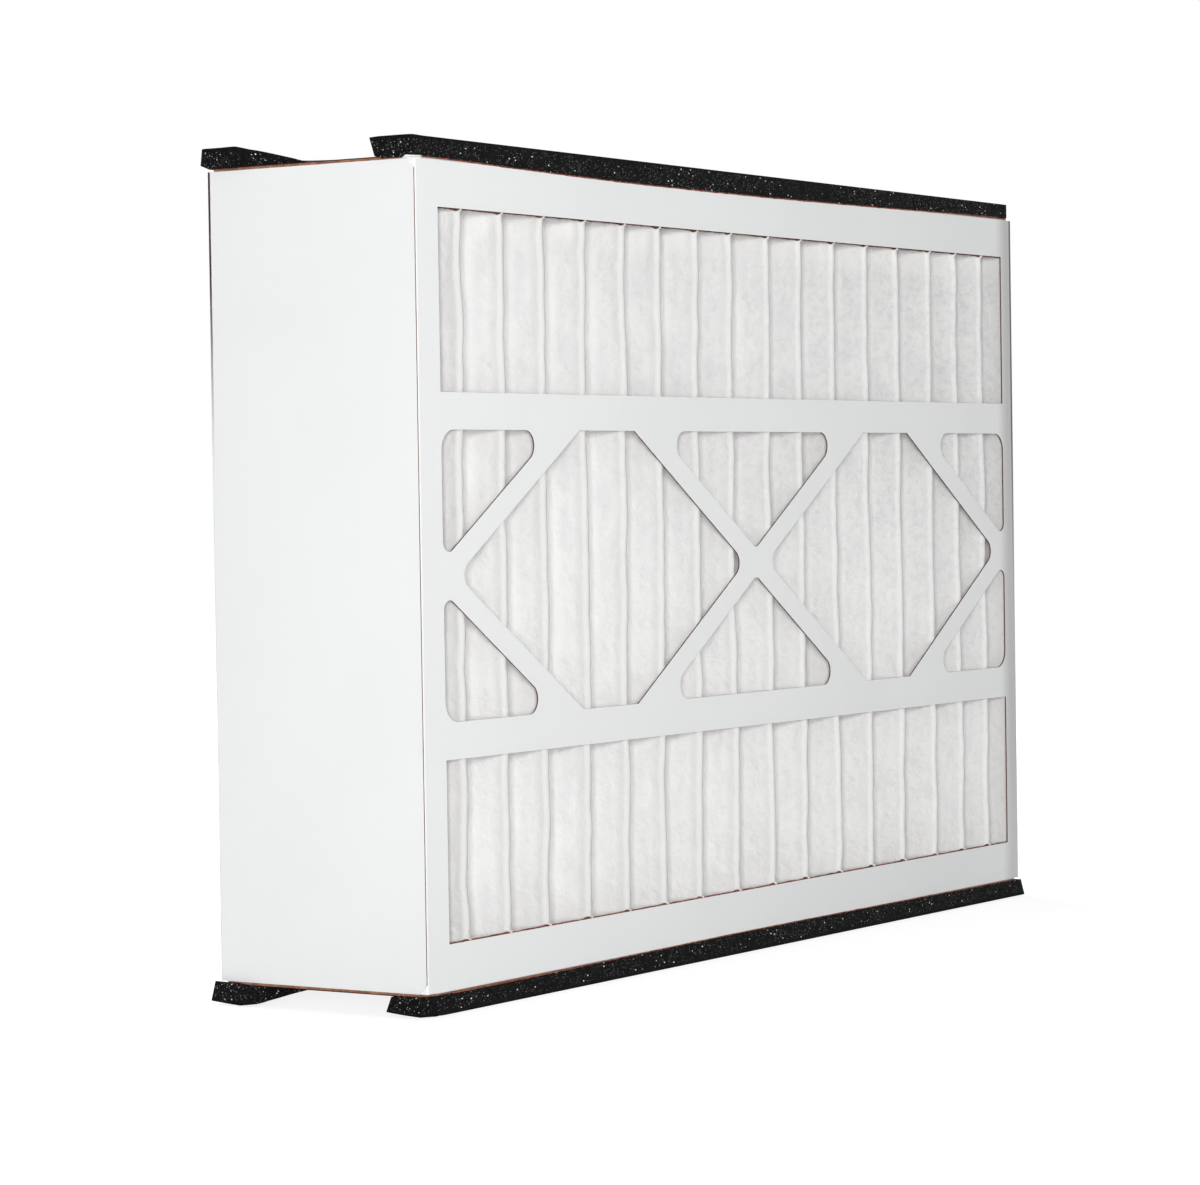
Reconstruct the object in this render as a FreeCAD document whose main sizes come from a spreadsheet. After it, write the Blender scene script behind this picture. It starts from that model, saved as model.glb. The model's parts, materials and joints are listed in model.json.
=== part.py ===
import FreeCAD, Part
import math
import os
import re

import Sketcher

# Pleated panel air filter for a cabinet slot.
# Two die-cut paperboard trays, one nested in the other, hold a pleat pack that
# is glued in along all four sides. Four foam strips seal the two long sides.
# X runs along the length, Y through the depth with the front face at -Y, and Z
# is up. The origin lies under the middle of the filter, where it stands.

SIZES = [
    # The frame's outside, without the foam strips
    ("length", 614.4),
    ("height", 396.9),
    ("depth", 123.8),
    # Paperboard, its folds and the glue between the two trays
    ("board", 0.7),
    ("fold_radius", 0.5),
    ("soft_fold_radius", 7.0),
    ("glue_film", 0.1),
    # Cut corners of the flaps
    ("clip_along", 8.0),
    ("clip_deep", 4.5),
    ("edge_set_back", 4.0),
    # Windows of the face: two wide ones and a band of lattice between them
    ("side_border", 19.0),
    ("long_border", 23.6),
    ("rail", 17.8),
    ("band_height", 139.2),
    ("strut", 12.3),
    ("strut_spread", 73.3),
    ("shoulder_radius", 1.5),
    ("tip_radius", 7.0),
    ("slim_radius", 7.5),
    ("border_radius", 10.0),
    ("point_radius", 5.0),
    # Pleat pack
    ("pleat_count", 17),
    ("media", 2.0),
    ("ridge_radius", 2.6),
    ("ridge_gap", 0.1),
    ("seal_thickness", 1.0),
    ("end_seal_depth", 6.0),
    # Foam strips
    ("foam_thickness", 9.5),
    ("foam_width", 25.4),
    ("foam_undercut", 2.5),
    ("foam_round", 1.0),
]

# Lengths that follow from the sizes, as expressions on them
BEND = "(fold_radius + board)"
LAYER = "(board + glue_film)"
HALF_X = "(length / 2)"
HALF_Y = "(depth / 2)"
HALF_Z = "(height / 2)"
MIDDLE_Z = "(foam_thickness + height / 2)"
END_FLAP_HEIGHT = f"(height - 4 * {LAYER})"
INSIDE_X = f"({HALF_X} - 2 * board - glue_film)"
INSIDE_Z = f"({HALF_Z} - 2 * board - glue_film)"
FOLD_BACK = f"(soft_fold_radius - {HALF_Y})"

# The lattice: strut centre lines cross in the middle and meet the side borders
WINDOW_X = f"({HALF_X} - side_border)"
WINDOW_Z = f"({HALF_Z} - long_border)"
BAND_Z = "(band_height / 2)"
STRUT_RUN = f"(({WINDOW_X} - strut_spread) / 2)"
STRUT_ANGLE = f"atan({BAND_Z} / {STRUT_RUN})"
STRUT_HALF = f"(strut / 2 / sin({STRUT_ANGLE}))"
DIAMOND_X = f"({WINDOW_X} / 2)"
DIAMOND_FLAT = f"(strut_spread / 2 - {STRUT_HALF})"
TRIANGLE_X = f"({STRUT_RUN} - {STRUT_HALF})"
TRIANGLE_DROP = f"({TRIANGLE_X} * tan({STRUT_ANGLE}))"

# The pleats: each leg is the common tangent of a front and a back ridge
PITCH = f"((2 * {INSIDE_X} - 2 * seal_thickness) / pleat_count)"
PACK_HALF_X = f"({INSIDE_X} - seal_thickness)"
PACK_HALF_Y = f"({HALF_Y} - {BEND} - ridge_gap)"
MEDIA_HALF_Z = f"({INSIDE_Z} - seal_thickness)"
RIDGE_Y = f"({PACK_HALF_Y} - ridge_radius)"
RIDGE_SPAN = f"sqrt(({PITCH} / 2) ^ 2 + (2 * {RIDGE_Y}) ^ 2)"
LEG_ANGLE = (
    f"(atan({PITCH} / 4 / {RIDGE_Y}) - asin((2 * ridge_radius - media) / {RIDGE_SPAN}))"
)

doc = FreeCAD.newDocument("air_filter")
sheet = doc.addObject("Spreadsheet::Sheet", "Sizes")
for row, (alias, size) in enumerate(SIZES, start=1):
    sheet.set(f"A{row}", alias)
    sheet.set(f"B{row}", str(size))
    sheet.setAlias(f"B{row}", alias)
doc.recompute()
ALIAS = re.compile(r"\b(" + "|".join(alias for alias, size in SIZES) + r")\b")


def bound(text):
    """The expression with each size written as a cell of the sheet."""
    return ALIAS.sub(r"Sizes.\1", text)


def value(text):
    """What the expression comes to now."""
    return float(sheet.evalExpression(bound(text)))


def new_body(name, height_of_centre=MIDDLE_Z):
    """An empty body whose own origin lies at the given height over the floor."""
    body = doc.addObject("PartDesign::Body", name)
    body.Label = name
    body.setExpression(".Placement.Base.z", bound(height_of_centre))
    return body


def new_sketch(body, name, role):
    """A sketch on one of the body's own origin planes."""
    sketch = body.newObject("Sketcher::SketchObject", name)
    plane = next(f for f in body.Origin.OriginFeatures if f.Role == role)
    sketch.AttachmentSupport = [(plane, "")]
    sketch.MapMode = "FlatFace"
    return sketch


def drive(sketch, constraint, text):
    """Adds a dimension to the sketch and binds it to the sizes."""
    index = sketch.addConstraint(constraint)
    sketch.setExpression(f"Constraints[{index}]", bound(text))


def outline(sketch, corners):
    """A closed outline: each corner is (x, y, radius), and a radius of None is sharp.

    Each corner is a construction point that the sizes drive. The real lines pass
    through these points, joined by tangent arcs where a corner is rounded."""
    count = len(corners)
    points = [FreeCAD.Vector(value(x), value(y), 0) for x, y, radius in corners]
    radii = [None if radius is None else value(radius) for x, y, radius in corners]
    marks = [sketch.addGeometry(Part.Point(point), True) for point in points]
    for mark, point, (x, y, radius) in zip(marks, points, corners):
        drive(sketch, Sketcher.Constraint("DistanceX", -1, 1, mark, 1, point.x), x)
        drive(sketch, Sketcher.Constraint("DistanceY", -1, 1, mark, 1, point.y), y)

    arrive, leave, arcs = [], [], []
    for i in range(count):
        back = (points[i - 1] - points[i]).normalize()
        ahead = (points[(i + 1) % count] - points[i]).normalize()
        if radii[i] is None:
            arrive.append(points[i])
            leave.append(points[i])
            arcs.append(None)
            continue
        half = back.getAngle(ahead) / 2
        reach = radii[i] / math.tan(half)
        centre = points[i] + (back + ahead).normalize() * (radii[i] / math.sin(half))
        arrive.append(points[i] + back * reach)
        leave.append(points[i] + ahead * reach)
        turns_left = back.cross(ahead).z < 0
        ends = (arrive[i], leave[i]) if turns_left else (leave[i], arrive[i])
        angles = [math.atan2(end.y - centre.y, end.x - centre.x) for end in ends]
        circle = Part.Circle(centre, FreeCAD.Vector(0, 0, 1), radii[i])
        arc = sketch.addGeometry(Part.ArcOfCircle(circle, *angles), False)
        arcs.append((arc, 1 if turns_left else 2))

    lines = []
    for i in range(count):
        line = Part.LineSegment(leave[i], arrive[(i + 1) % count])
        lines.append(sketch.addGeometry(line, False))
    for i in range(count):
        before = lines[i - 1]
        after = lines[i]
        if arcs[i] is None:
            for line, end in ((before, 2), (after, 1)):
                sketch.addConstraint(Sketcher.Constraint("Coincident", line, end, marks[i], 1))
            continue
        for line in (before, after):
            sketch.addConstraint(Sketcher.Constraint("PointOnObject", marks[i], 1, line))
        arc, first = arcs[i]
        for join in ((before, 2, arc, first), (arc, 3 - first, after, 1)):
            sketch.addConstraint(Sketcher.Constraint("Tangent", *join))
        drive(sketch, Sketcher.Constraint("Radius", arc, radii[i]), corners[i][2])


def pad(body, sketch, name, length):
    """The sketch made solid, half of the length to each side of its plane."""
    feature = body.newObject("PartDesign::Pad", name)
    feature.Profile = sketch
    feature.SideType = "Symmetric"
    feature.setExpression("Length", bound(length))
    return feature


def cut_through(body, sketch, name):
    """The sketch cut through the whole body, to both sides of its plane."""
    feature = body.newObject("PartDesign::Pocket", name)
    feature.Profile = sketch
    feature.SideType = "Symmetric"
    feature.Type = "ThroughAll"
    return feature


def rectangle(x_low, x_high, y_low, y_high):
    """The four sharp corners of an upright rectangle."""
    return [
        (x_low, y_low, None),
        (x_high, y_low, None),
        (x_high, y_high, None),
        (x_low, y_high, None),
    ]


def folded_section(half_width, face, inward, reach_low, reach_high, outer_high):
    """A panel with a flap folded back at each side, as (across, through) corners.

    The panel's outer side lies at face. inward is +1 or -1 and points into the
    tray. The flap on the low side reaches to reach_low, the other to reach_high,
    and outer_high is the outer radius of the fold on the high side."""
    inner = f"({face} + {inward} * board)"
    return [
        (f"-{half_width}", reach_low, None),
        (f"-{half_width}", face, BEND),
        (half_width, face, outer_high),
        (half_width, reach_high, None),
        (f"({half_width} - board)", reach_high, None),
        (f"({half_width} - board)", inner, f"({outer_high} - board)"),
        (f"-({half_width} - board)", inner, "fold_radius"),
        (f"-({half_width} - board)", reach_low, None),
    ]


def swapped(corners):
    """The same corners with the two directions exchanged."""
    return [(y, x, radius) for x, y, radius in corners]


def clipped_corner(across, through, along, deep):
    """The triangle that a cut corner of a flap loses."""
    return [(across, through, None), (along, through, None), (across, deep, None)]


def window_outlines():
    """Every window of the die-cut face, as lists of (x, z, radius) corners."""
    wide, diamonds, centre_triangles, corner_triangles = [], [], [], []
    for up in ("+1", "-1"):
        low = f"({up} * ({BAND_Z} + rail))"
        high = f"({up} * {WINDOW_Z})"
        wide.append(rectangle(f"-{WINDOW_X}", WINDOW_X, low, high))
        base = f"({up} * {BAND_Z})"
        tip = f"({up} * ({BAND_Z} - {TRIANGLE_DROP}))"
        centre_triangles.append([
            (f"-{TRIANGLE_X}", base, "slim_radius"),
            (TRIANGLE_X, base, "slim_radius"),
            ("0", tip, "point_radius"),
        ])
        for side in ("+1", "-1"):
            border = f"({side} * {WINDOW_X})"
            inner = f"({side} * ({WINDOW_X} - {TRIANGLE_X}))"
            corner_triangles.append([
                (inner, base, "slim_radius"),
                (border, base, "border_radius"),
                (border, tip, "point_radius"),
            ])
    for side in ("+1", "-1"):
        centre = f"({side} * {DIAMOND_X})"
        diamonds.append([
            (f"({centre} - {DIAMOND_FLAT})", BAND_Z, "shoulder_radius"),
            (f"({centre} + {DIAMOND_FLAT})", BAND_Z, "shoulder_radius"),
            (f"({centre} + {DIAMOND_FLAT} + {STRUT_RUN})", "0", "tip_radius"),
            (f"({centre} + {DIAMOND_FLAT})", f"-{BAND_Z}", "shoulder_radius"),
            (f"({centre} - {DIAMOND_FLAT})", f"-{BAND_Z}", "shoulder_radius"),
            (f"({centre} - {DIAMOND_FLAT} - {STRUT_RUN})", "0", "tip_radius"),
        ])
    return {
        "wide_windows": wide,
        "diamonds": diamonds,
        "centre_triangles": centre_triangles,
        "corner_triangles": corner_triangles,
    }


def tray(name, inward, inset, flap_end, soft_face, end_flap_stop):
    """One die-cut tray: a windowed face, two long flaps and two end flaps.

    inward is the way from the face into the tray along Y. inset is how far the
    folds lie inside the frame's outside. The long flaps run to flap_end. soft_face
    says that the right end's fold is a wide bend, and end_flap_stop is where the
    right end flap stops."""
    face = f"(-1 * {inward} * {HALF_Y})"
    body = new_body(name)

    # Face and long flaps, over the full length
    half_z = f"({HALF_Z} - {inset})"
    section = folded_section(half_z, face, inward, flap_end, flap_end, BEND)
    sketch = new_sketch(body, "long_section", "YZ_Plane")
    outline(sketch, swapped(section))
    pad(body, sketch, "face_and_long_flaps", "length")

    # The long flaps' corners, cut off at the fold and at the free edge
    front, back = f"(-1 * {HALF_Y})", HALF_Y
    sketch = new_sketch(body, "flap_corners", "XY_Plane")
    for through, into in ((front, "+1"), (back, "-1")):
        for side in ("-1", "+1"):
            soft = side == "+1" and into == "+1"
            along = "(soft_fold_radius + clip_deep)" if soft else "clip_along"
            deep = "soft_fold_radius" if soft else "clip_deep"
            across = f"({side} * {HALF_X})"
            triangle = clipped_corner(
                across,
                through,
                f"({side} * ({HALF_X} - {along}))",
                f"({through} + {into} * {deep})",
            )
            outline(sketch, triangle)
    cut_through(body, sketch, "long_flap_corners")

    # End flaps, folded from the same face and stopping under the long flaps
    half_x = f"({HALF_X} - {inset})"
    bend = "soft_fold_radius" if soft_face else BEND
    section = folded_section(half_x, face, inward, flap_end, end_flap_stop, bend)
    sketch = new_sketch(body, "end_section", "XY_Plane")
    outline(sketch, section)
    pad(body, sketch, "face_and_end_flaps", END_FLAP_HEIGHT)

    # The end flaps' free corners
    sketch = new_sketch(body, "end_corners", "YZ_Plane")
    for side in ("-1", "+1"):
        edge = f"({side} * {END_FLAP_HEIGHT} / 2)"
        triangle = clipped_corner(
            flap_end,
            edge,
            f"({flap_end} - {inward} * clip_deep)",
            f"({side} * ({END_FLAP_HEIGHT} / 2 - clip_deep))",
        )
        outline(sketch, triangle)
    cut_through(body, sketch, "end_flap_corners")

    for label, shapes in window_outlines().items():
        sketch = new_sketch(body, f"{label}_outline", "XZ_Plane")
        for corners in shapes:
            outline(sketch, corners)
        cut_through(body, sketch, label)
    return body


def pleat_section(round_ridges):
    """One pitch of the sheet, from the middle of a leg to the middle of the next.

    The inside of a fold is a narrow flat. The outside is rounded, or is a flat too
    where round_ridges is False."""
    inner_radius = "(ridge_radius - media)"
    flat_share = f"((1 - sin({LEG_ANGLE})) / cos({LEG_ANGLE}))"
    fold_y = f"({RIDGE_Y} + {inner_radius})"
    fold_flat = f"({inner_radius} * {flat_share})"
    ridge_y = PACK_HALF_Y
    ridge_flat = f"(ridge_radius * {flat_share})"
    ridge_point = f"({RIDGE_Y} + ridge_radius / sin({LEG_ANGLE}))"
    wide = f"({RIDGE_Y} * tan({LEG_ANGLE}) + ridge_radius / cos({LEG_ANGLE}))"
    narrow = f"({RIDGE_Y} * tan({LEG_ANGLE}) + {inner_radius} / cos({LEG_ANGLE}))"
    start = f"(-1 * {PACK_HALF_X})"
    next_ridge = f"({start} + {PITCH} / 2)"

    if round_ridges:
        front_ridge = [(start, f"-{ridge_point}", "ridge_radius")]
        back_ridge = [(next_ridge, ridge_point, "ridge_radius")]
    else:
        front_ridge = [
            (f"({start} - {ridge_flat})", f"-{ridge_y}", None),
            (f"({start} + {ridge_flat})", f"-{ridge_y}", None),
        ]
        back_ridge = [
            (f"({next_ridge} + {ridge_flat})", ridge_y, None),
            (f"({next_ridge} - {ridge_flat})", ridge_y, None),
        ]
    return [
        (f"({start} - {wide})", "0", None),
        *front_ridge,
        (f"({next_ridge} - {fold_flat})", fold_y, None),
        (f"({next_ridge} + {fold_flat})", fold_y, None),
        (f"({next_ridge} + {narrow})", "0", None),
        (f"({next_ridge} + {wide})", "0", None),
        *back_ridge,
        (f"({start} + {fold_flat})", f"-{fold_y}", None),
        (f"({start} - {fold_flat})", f"-{fold_y}", None),
        (f"({start} - {narrow})", "0", None),
    ]


def pleated_sheet(name, thickness, centre, round_ridges):
    """The zigzag from end to end, of the given height, centred at a height."""
    body = new_body(name, centre)
    sketch = new_sketch(body, "pleat_section", "XY_Plane")
    outline(sketch, pleat_section(round_ridges))
    first = pad(body, sketch, "first_pleat", thickness)
    pattern = body.newObject("PartDesign::LinearPattern", "pleats")
    pattern.Originals = [first]
    x_axis = next(f for f in body.Origin.OriginFeatures if f.Role == "X_Axis")
    pattern.Direction = (x_axis, [""])
    pattern.setExpression("Length", bound(f"{PITCH} * pleat_count"))
    pattern.setExpression("Occurrences", bound("pleat_count + 1"))
    body.Tip = pattern

    # The sheet ends at the end flaps, cut back to clear the soft fold of the face
    sketch = new_sketch(body, "sheet_ends", "XY_Plane")
    for side in ("-1", "+1"):
        near = f"({side} * {PACK_HALF_X})"
        inner = f"({side} * ({PACK_HALF_X} - 2 * ridge_radius))"
        far = f"({side} * ({PACK_HALF_X} + {PITCH}))"
        outline(sketch, [
            (near, HALF_Y, None),
            (near, FOLD_BACK, None),
            (inner, FOLD_BACK, None),
            (inner, f"-{HALF_Y}", None),
            (far, f"-{HALF_Y}", None),
            (far, HALF_Y, None),
        ])
    cut_through(body, sketch, "cut_ends")
    return body


def end_seal(name, side):
    """The upright bead that glues the first or last leg to its end flap."""
    body = new_body(name)
    sketch = new_sketch(body, "bead_section", "XY_Plane")
    flap = f"({side} * {INSIDE_X})"
    corners = []
    for through in (FOLD_BACK, f"({FOLD_BACK} + end_seal_depth)"):
        lean = f"(({through} + {RIDGE_Y}) * tan({LEG_ANGLE}))"
        off = f"((ridge_radius - media) / cos({LEG_ANGLE}) + {lean})"
        corners.append((f"({side} * ({PACK_HALF_X} - {off}))", through, None))
    corners.append((flap, corners[1][1], None))
    corners.append((flap, corners[0][1], None))
    outline(sketch, corners)
    pad(body, sketch, "bead", f"2 * {INSIDE_Z}")
    return body


def gasket(name, up, back):
    """A foam strip along a long side, slightly narrower where it is glued down."""
    body = new_body(name)
    glued = f"({up} * {HALF_Z})"
    free = f"({up} * ({HALF_Z} + foam_thickness))"
    edge = f"({back} * {HALF_Y})"
    glued_edge = f"({back} * ({HALF_Y} - foam_width + foam_undercut))"
    free_edge = f"({back} * ({HALF_Y} - foam_width))"
    sketch = new_sketch(body, "strip_section", "YZ_Plane")
    outline(sketch, [
        (edge, glued, None),
        (edge, free, "foam_round"),
        (free_edge, free, "foam_round"),
        (glued_edge, glued, None),
    ])
    pad(body, sketch, "strip", "length")
    return body


front_reach = f"({HALF_Y} - board - fold_radius - glue_film)"
seal_centre = f"({INSIDE_Z} - seal_thickness / 2)"
subparts = [
    tray("front_frame", "+1", LAYER, front_reach, True, front_reach),
    tray("back_frame", "-1", "0", f"(-1 * {HALF_Y})", False, f"(edge_set_back - {HALF_Y})"),
    pleated_sheet("pleated_media", f"2 * {MEDIA_HALF_Z}", MIDDLE_Z, True),
    pleated_sheet("pleat_seal_top", "seal_thickness", f"{MIDDLE_Z} + {seal_centre}", False),
    pleated_sheet("pleat_seal_bottom", "seal_thickness", f"{MIDDLE_Z} - {seal_centre}", False),
    end_seal("end_seal_left", "-1"),
    end_seal("end_seal_right", "+1"),
    gasket("gasket_top_front", "+1", "-1"),
    gasket("gasket_top_back", "+1", "+1"),
    gasket("gasket_bottom_front", "-1", "-1"),
    gasket("gasket_bottom_back", "-1", "+1"),
]
doc.recompute()

for item in doc.Objects:
    if "Invalid" in item.State or "Error" in item.State:
        raise RuntimeError(f"{item.Name} failed: {item.State}")
os.makedirs("parts", exist_ok=True)
for body in subparts:
    shape = body.Shape
    if shape.isNull() or not shape.isValid() or not shape.Solids:
        raise RuntimeError(f"{body.Label} is not a valid solid")
    box = shape.BoundBox
    print(
        f"{body.Label}: {len(shape.Solids)} solid, {shape.Volume / 1000:.1f} cm3, "
        f"x {box.XMin:.2f} {box.XMax:.2f}, y {box.YMin:.2f} {box.YMax:.2f}, "
        f"z {box.ZMin:.2f} {box.ZMax:.2f}"
    )
for body in subparts:
    body.Shape.exportStep(f"parts/{body.Label}.step")
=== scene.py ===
import json
import math

import bpy
from mathutils import Matrix, Vector, noise
from mathutils.bvhtree import BVHTree

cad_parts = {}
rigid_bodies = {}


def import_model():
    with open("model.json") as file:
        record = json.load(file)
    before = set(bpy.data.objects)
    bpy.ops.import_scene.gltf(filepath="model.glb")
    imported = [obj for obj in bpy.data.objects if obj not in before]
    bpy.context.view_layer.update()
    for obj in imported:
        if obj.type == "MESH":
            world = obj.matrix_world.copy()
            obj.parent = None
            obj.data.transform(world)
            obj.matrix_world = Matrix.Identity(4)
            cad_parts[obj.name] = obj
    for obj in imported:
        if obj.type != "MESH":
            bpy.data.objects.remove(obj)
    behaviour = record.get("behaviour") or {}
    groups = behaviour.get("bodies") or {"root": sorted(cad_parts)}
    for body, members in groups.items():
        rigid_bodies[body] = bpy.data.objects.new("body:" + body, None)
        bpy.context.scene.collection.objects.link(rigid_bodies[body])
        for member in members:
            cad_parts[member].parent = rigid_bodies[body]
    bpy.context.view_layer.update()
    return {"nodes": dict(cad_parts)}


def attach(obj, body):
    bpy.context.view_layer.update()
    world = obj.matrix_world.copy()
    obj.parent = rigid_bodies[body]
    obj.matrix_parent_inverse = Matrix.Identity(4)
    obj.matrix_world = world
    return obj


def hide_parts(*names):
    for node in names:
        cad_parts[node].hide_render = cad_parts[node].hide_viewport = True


# A pleated panel air filter on a pale floor. Two folded paperboard trays come from
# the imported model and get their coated, brown and cut sides. The pleated media, its
# glue and the four foam strips are modelled here in place of their plain solids.

MM = 0.001

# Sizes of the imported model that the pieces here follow, in millimetres
HALF_X = 307.2
HALF_Y = 61.9
BOTTOM = 9.5
TOP = 406.4
MIDDLE_Z = (BOTTOM + TOP) / 2
BOARD = 0.7
PITCH = 35.84706
FIRST_RIDGE = -304.7
FOLDS = 35
RIDGE_Y = 58.0
MEDIA = 2.0
MEDIA_LOW = 11.7
MEDIA_HIGH = 404.2

# Where the front ridges stand in the photo, away from an even pitch, at the height of
# the upper and of the lower wide window
RIDGE_SHIFTS = (
    (0.0, 0.0), (-0.6, -1.8), (-1.5, -1.8), (-1.2, -3.7), (0.0, -1.6), (0.6, -3.0),
    (-1.0, -3.8), (-0.8, -2.8), (-2.9, -2.8), (-0.1, -1.2), (-1.6, -1.9), (-0.7, -0.1),
    (0.2, 0.1), (1.5, 1.6), (4.1, 4.5), (-1.2, 1.2), (-4.3, -3.0), (-10.0, -10.0),
)
UPPER_Z = 340.0
LOWER_Z = 77.0

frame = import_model()


# ---------------------------------------------------------------- small helpers


def deselect_all():
    for item in bpy.context.view_layer.objects:
        item.select_set(False)


def pick(item):
    """Makes the object the only selected one, and the active one."""
    deselect_all()
    item.select_set(True)
    bpy.context.view_layer.objects.active = item


def name_piece(name):
    """The object that the last operator added, under its own name."""
    piece = bpy.context.active_object
    piece.name = name
    piece.data.name = name
    return piece


def apply_place(piece):
    """Moves the piece's place and turn into its mesh."""
    pick(piece)
    bpy.ops.object.transform_apply(location=True, rotation=True, scale=True)


def apply_modifier(piece, kind, **settings):
    """Adds a modifier with these settings and applies it."""
    pick(piece)
    modifier = piece.modifiers.new(kind.title(), kind)
    for key, value in settings.items():
        setattr(modifier, key, value)
    bpy.ops.object.modifier_apply(modifier=modifier.name)


def face_outwards(piece):
    """Turns the faces of the piece the same way, outwards."""
    pick(piece)
    bpy.ops.object.mode_set(mode="EDIT")
    bpy.ops.mesh.select_all(action="SELECT")
    bpy.ops.mesh.normals_make_consistent(inside=False)
    bpy.ops.object.mode_set(mode="OBJECT")


def smoothstep(low, high, value):
    """0 below low, 1 above high, and a soft rise between them."""
    t = min(1.0, max(0.0, (value - low) / (high - low)))
    return t * t * (3 - 2 * t)


def wave(x, y=0.0, z=0.0):
    """Smooth noise from -1 to 1 that is the same in each run."""
    return noise.noise(Vector((x, y, z)))


def dress(piece, *materials):
    """Gives the piece these materials and no others."""
    piece.data.materials.clear()
    for material in materials:
        piece.data.materials.append(material)


# ---------------------------------------------------------------- camera

CAMERA_PLACE = Vector((-1.79194, -1.13534, 0.24840))
CAMERA_RIGHT = Vector((0.547529, -0.836650, -0.015156))
CAMERA_DOWN = Vector((-0.030585, -0.001909, -0.999530))
CAMERA_FORWARD = Vector((0.836228, 0.547735, -0.026634))
CAMERA_LENS = 116.92


def place_camera():
    """The photo's point of view, with the frame's centre straight ahead."""
    bpy.ops.object.camera_add()
    camera = bpy.context.active_object
    camera.name = "camera"
    turn = Matrix((CAMERA_RIGHT, -CAMERA_DOWN, -CAMERA_FORWARD)).transposed().to_4x4()
    camera.matrix_world = Matrix.Translation(CAMERA_PLACE) @ turn
    camera.data.sensor_fit = "HORIZONTAL"
    camera.data.sensor_width = 36.0
    camera.data.lens = CAMERA_LENS
    camera.data.clip_end = 30.0
    bpy.context.scene.camera = camera


place_camera()


# ---------------------------------------------------------------- node helpers


class Shader:
    """A material or a node group, with short calls to add and join its nodes."""

    def __init__(self, tree):
        self.tree = tree

    def add(self, kind, inputs=None, **settings):
        """A new node. inputs gives each named socket a value or another socket."""
        node = self.tree.nodes.new(kind)
        for key, value in settings.items():
            setattr(node, key, value)
        for key, value in (inputs or {}).items():
            socket = node.inputs[key]
            if isinstance(value, bpy.types.NodeSocket):
                self.tree.links.new(value, socket)
            else:
                socket.default_value = value
        return node

    def link(self, source, target):
        self.tree.links.new(source, target)

    def math(self, operation, a, b=None):
        inputs = {0: a}
        if b is not None:
            inputs[1] = b
        return self.add("ShaderNodeMath", inputs, operation=operation).outputs[0]

    def times(self, first, *others):
        """The product of these values."""
        for other in others:
            first = self.math("MULTIPLY", first, other)
        return first

    def between(self, value, low, high, to_low=0.0, to_high=1.0):
        """The value, mapped from low..high to to_low..to_high with soft ends."""
        node = self.add(
            "ShaderNodeMapRange",
            {
                "Value": value, "From Min": low, "From Max": high,
                "To Min": to_low, "To Max": to_high,
            },
            interpolation_type="SMOOTHSTEP",
        )
        return node.outputs["Result"]

    def mix(self, share, first, second):
        """Two colours mixed by a share from 0 to 1."""
        node = self.add("ShaderNodeMix", data_type="RGBA")
        colour_sockets = [s for s in node.inputs if s.type == "RGBA"]
        for socket, value in zip([node.inputs[0]] + colour_sockets, (share, first, second)):
            if isinstance(value, bpy.types.NodeSocket):
                self.tree.links.new(value, socket)
            else:
                socket.default_value = value
        return next(s for s in node.outputs if s.type == "RGBA")

    def axes(self, place):
        """The place's X, Y and Z, by name."""
        parts = self.add("ShaderNodeSeparateXYZ", {"Vector": place}).outputs
        return {axis: parts[axis] for axis in "XYZ"}

    def mark(self, tone, axes, marks):
        """The tone with the marks laid over it, one after the other.

        A mark is a colour and its spans. A span is an axis with the values where the
        mark begins and where it is full, and may end with its share at those two."""
        for colour, *spans in marks:
            share = self.times(*[self.between(axes[span[0]], *span[1:]) for span in spans])
            tone = self.mix(share, tone, colour)
        return tone

    def noise(self, vector, scale, detail=2.0, roughness=0.5):
        node = self.add(
            "ShaderNodeTexNoise",
            {"Vector": vector, "Scale": scale, "Detail": detail, "Roughness": roughness},
        )
        return node.outputs["Fac"]

    def bump(self, height, strength, distance, normal=None):
        inputs = {"Height": height, "Strength": strength, "Distance": distance}
        if normal is not None:
            inputs["Normal"] = normal
        return self.add("ShaderNodeBump", inputs).outputs["Normal"]


def new_group(name, inputs, outputs):
    """A shader node group. inputs and outputs are (name, kind, value) rows."""
    group = bpy.data.node_groups.new(name, "ShaderNodeTree")
    for label, kind, value in inputs:
        socket = group.interface.new_socket(label, in_out="INPUT", socket_type=f"NodeSocket{kind}")
        if value is not None:
            socket.default_value = value
    for label, kind in outputs:
        group.interface.new_socket(label, in_out="OUTPUT", socket_type=f"NodeSocket{kind}")
    shader = Shader(group)
    start = shader.add("NodeGroupInput")
    end = shader.add("NodeGroupOutput")
    return group, shader, start.outputs, end.inputs


def new_material(name):
    """An empty material with its Principled shader and Object coordinates."""
    material = bpy.data.materials.new(name)
    material.use_nodes = True
    tree = material.node_tree
    tree.nodes.clear()
    shader = Shader(tree)
    surface = shader.add("ShaderNodeBsdfPrincipled")
    output = shader.add("ShaderNodeOutputMaterial")
    shader.link(surface.outputs["BSDF"], output.inputs["Surface"])
    place = shader.add("ShaderNodeTexCoord").outputs["Object"]
    return material, shader, surface.inputs, place


# ---------------------------------------------------------------- shared effects


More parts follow.
